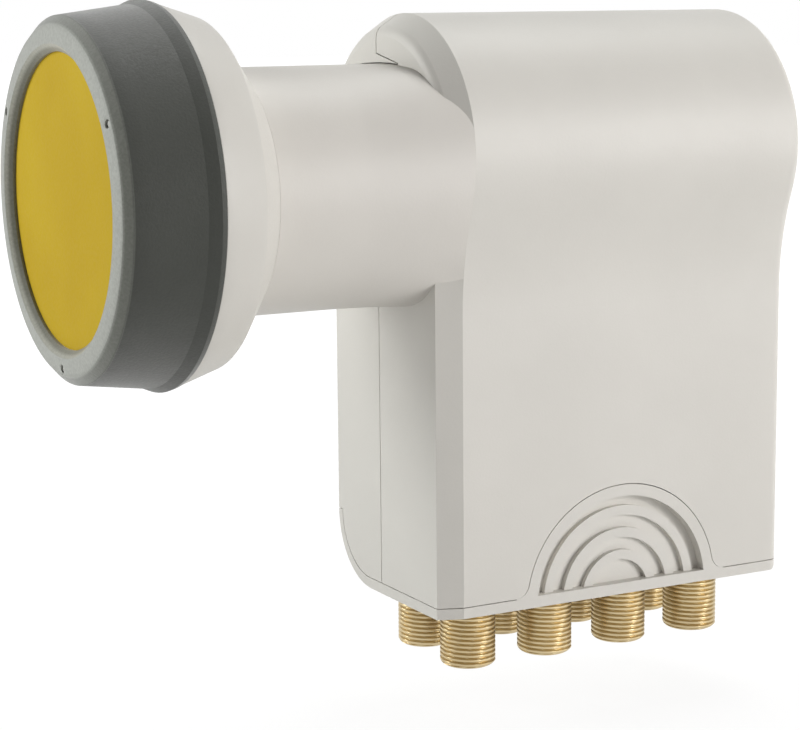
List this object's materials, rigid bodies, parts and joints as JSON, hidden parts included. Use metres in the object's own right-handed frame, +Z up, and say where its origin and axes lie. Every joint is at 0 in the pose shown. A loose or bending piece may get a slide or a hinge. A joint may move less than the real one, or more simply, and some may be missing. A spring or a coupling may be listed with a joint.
{
  "type": "satellite lnb",
  "caption": "Satellite dish receiver head with a yellow feed window in a grey cap, a round clamp neck, a pale housing, gold coaxial ports below and a sliding weather cover.",
  "frame": {"origin": "on the feed axis, midway along the clamp barrel", "axes": "+X from the feed window to the back of the housing, +Z up, -Y the side with the thumb grip"},
  "size_m": [0.1269, 0.0618, 0.1131],
  "materials": {
    "window_yellow": "moulded, slightly translucent, satin",
    "cap_grey": "fine moulded grain",
    "neck_plastic": "smooth satin moulding",
    "shell_plastic": "smooth satin moulding",
    "casting": "die cast, unpainted",
    "lid_sheet": "rolled sheet",
    "seal_rubber": "soft, dull",
    "board_green": "solder resist",
    "chip_black": "moulded epoxy",
    "steel": "plated",
    "gold_brass": "gold plated, bright",
    "insulator_white": "turned, smooth"
  },
  "bodies": {
    "lnb": {"bead_horizontal": "insulator_white", "bead_vertical": "insulator_white", "cap_pins": "steel", "cap_ring": "cap_grey", "chassis": "casting", "collar": "neck_plastic", "far_board": "board_green", "far_chips": "chip_black", "far_crystal": "steel", "far_gasket": "seal_rubber", "far_lid": "lid_sheet", "feed_horn": "casting", "feed_window": "window_yellow", "housing_far": "shell_plastic", "housing_near": "shell_plastic", "housing_screws": "steel", "isolation_rod": "steel", "lid_screws": "steel", "near_board": "board_green", "near_chips": "chip_black", "near_crystal": "steel", "near_gasket": "seal_rubber", "near_lid": "lid_sheet", "neck_root": "neck_plastic", "neck_tube": "neck_plastic", "port_body_1": "gold_brass", "port_body_2": "gold_brass", "port_body_3": "gold_brass", "port_body_4": "gold_brass", "port_body_5": "gold_brass", "port_body_6": "gold_brass", "port_body_7": "gold_brass", "port_body_8": "gold_brass", "port_contact_1": "gold_brass", "port_contact_2": "gold_brass", "port_contact_3": "gold_brass", "port_contact_4": "gold_brass", "port_contact_5": "gold_brass", "port_contact_6": "gold_brass", "port_contact_7": "gold_brass", "port_contact_8": "gold_brass", "port_insulator_1": "insulator_white", "port_insulator_2": "insulator_white", "port_insulator_3": "insulator_white", "port_insulator_4": "insulator_white", "port_insulator_5": "insulator_white", "port_insulator_6": "insulator_white", "port_insulator_7": "insulator_white", "port_insulator_8": "insulator_white", "port_washers": "seal_rubber", "probe_horizontal": "gold_brass", "probe_vertical": "gold_brass", "window_seal": "seal_rubber"},
    "cover": {"weather_cover": "shell_plastic"}
  },
  "joints": [
    {"name": "cover_slide", "type": "slide", "parent": "lnb", "child": "cover", "axis": [0, 0, -1], "range_m": [0, 0.019]}
  ]
}
